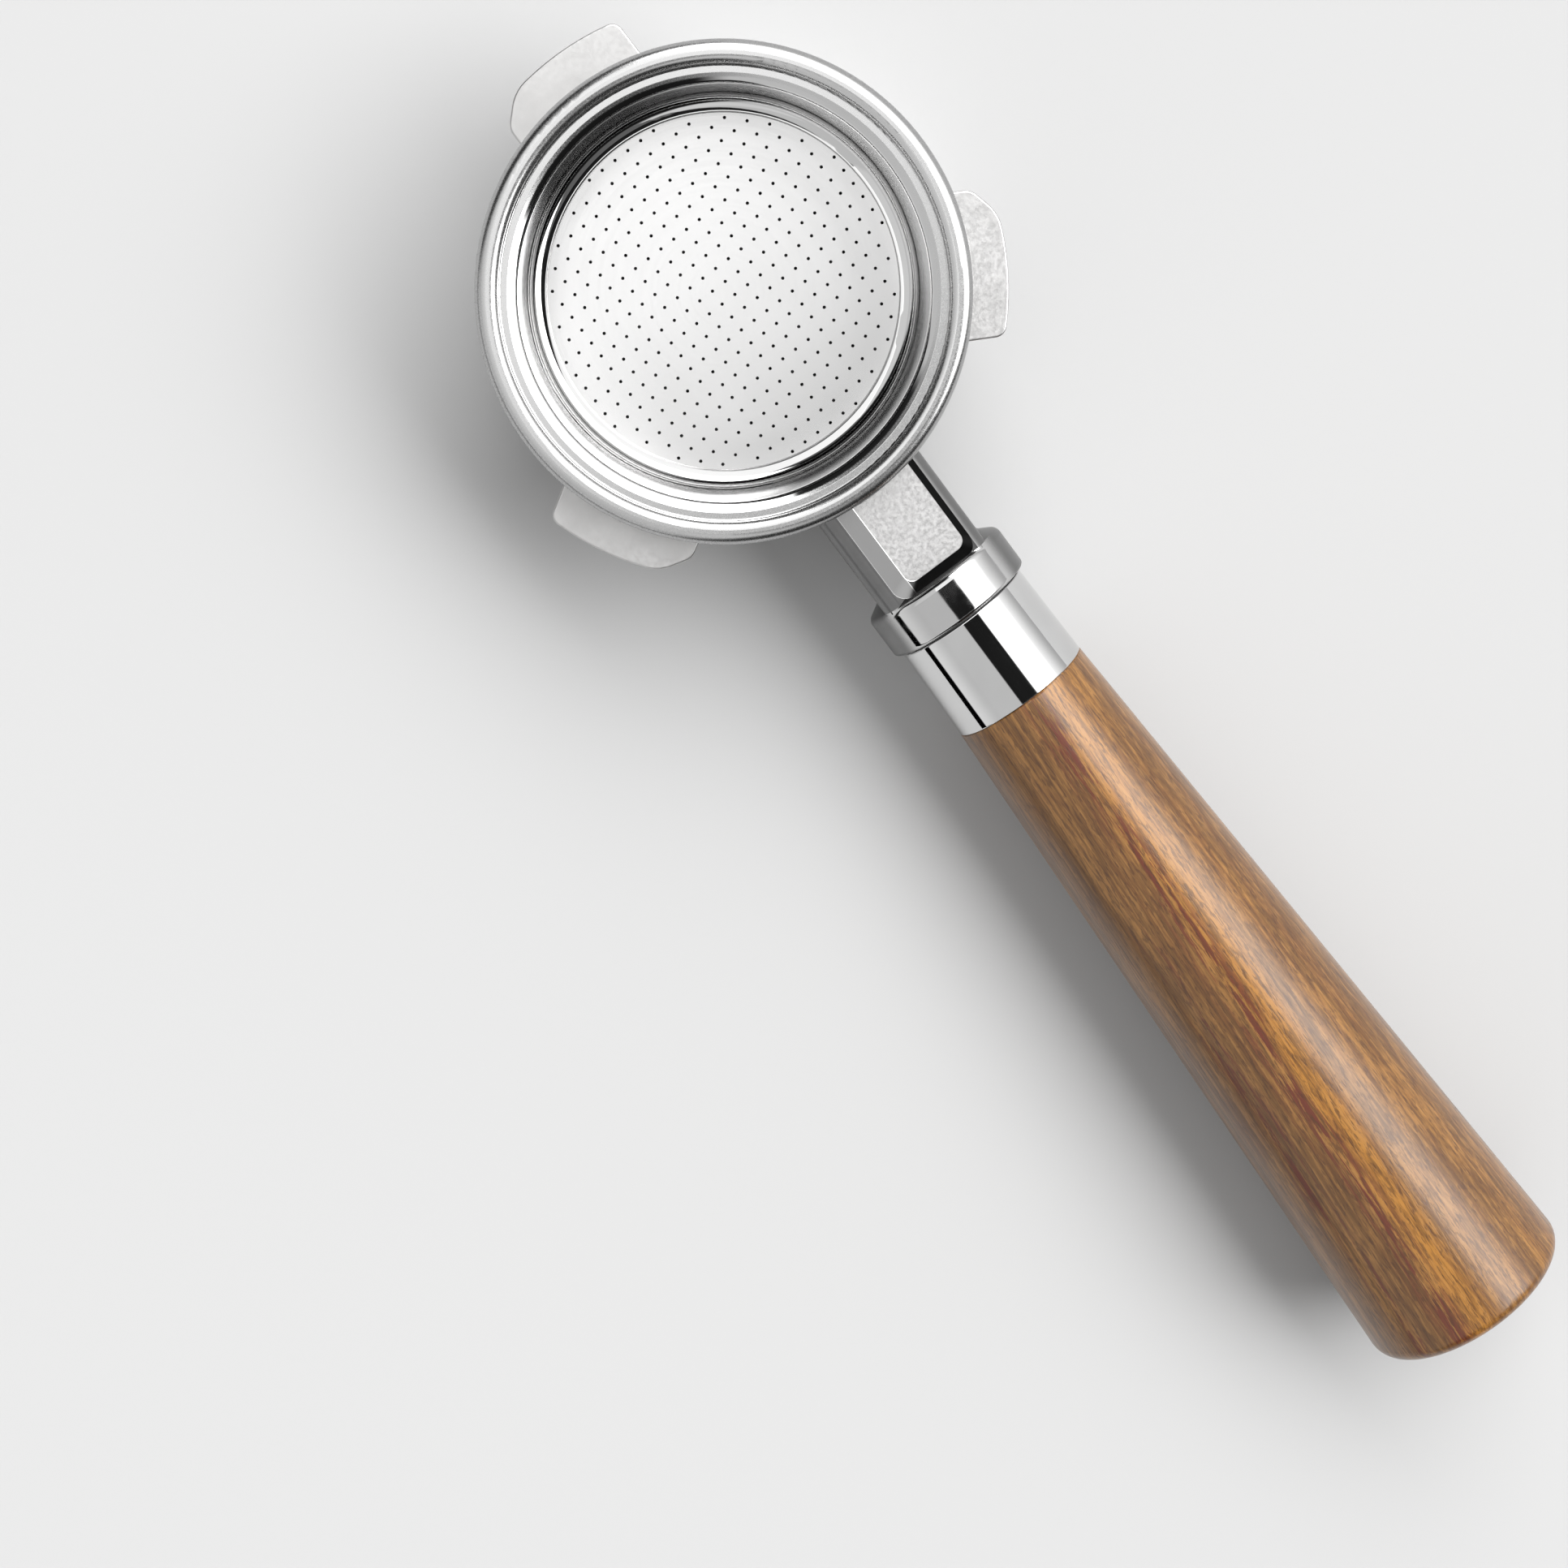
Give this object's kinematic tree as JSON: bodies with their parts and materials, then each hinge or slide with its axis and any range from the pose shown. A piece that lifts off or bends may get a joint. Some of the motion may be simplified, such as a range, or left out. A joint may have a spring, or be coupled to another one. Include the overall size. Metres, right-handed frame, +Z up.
{
  "type": "bottomless portafilter",
  "caption": "Bottomless espresso portafilter: a steel ring with bayonet lugs holds a perforated filter basket, on a neck with a chromed ferrule and a turned wooden handle.",
  "frame": {"origin": "on the ring's axis, in the plane of the ring's top face, where the basket's rim rests", "axes": "+Z up along the ring's axis, out of the basket's mouth; the handle runs along -Y"},
  "size_m": [0.0778, 0.2384, 0.0339],
  "materials": {
    "polished_steel": "polished casting",
    "basket_steel": "bright pressed stainless steel",
    "spring_steel": "drawn wire",
    "black_fibre": "matt",
    "chrome_plate": "mirror",
    "zinc_steel": "zinc plated",
    "brass": "turned",
    "wood": "satin varnish"
  },
  "bodies": {
    "head": {"portafilter_head": "polished_steel"},
    "clip": {"basket_spring": "spring_steel"},
    "basket": {"filter_basket": "basket_steel"},
    "spacer": {"joint_washer": "black_fibre"},
    "handle": {"ferrule": "chrome_plate", "flat_washer": "zinc_steel", "spring_washer": "zinc_steel", "lock_nut": "zinc_steel", "handle_stud": "zinc_steel", "wood_insert": "brass", "wooden_handle": "wood"}
  },
  "joints": [
    {"name": "basket_turn", "type": "hinge", "parent": "head", "child": "clip", "pos_m": [0, 0, 0], "axis": [0, 0, 1], "continuous": true},
    {"name": "basket_lift", "type": "slide", "parent": "clip", "child": "basket", "axis": [0, 0, 1], "range_m": [0, 0.035]},
    {"name": "handle_travel", "type": "slide", "parent": "head", "child": "spacer", "axis": [0, -1, 0], "range_m": [0, 0.0211]},
    {"name": "handle_turn", "type": "hinge", "parent": "spacer", "child": "handle", "pos_m": [0, 0, -0.014], "axis": [0, -1, 0], "range_deg": [0, 5040]}
  ],
  "couplings": [
    {"joint": "handle_travel", "follows": "handle_turn", "m_per_rad": 0.00023873}
  ]
}
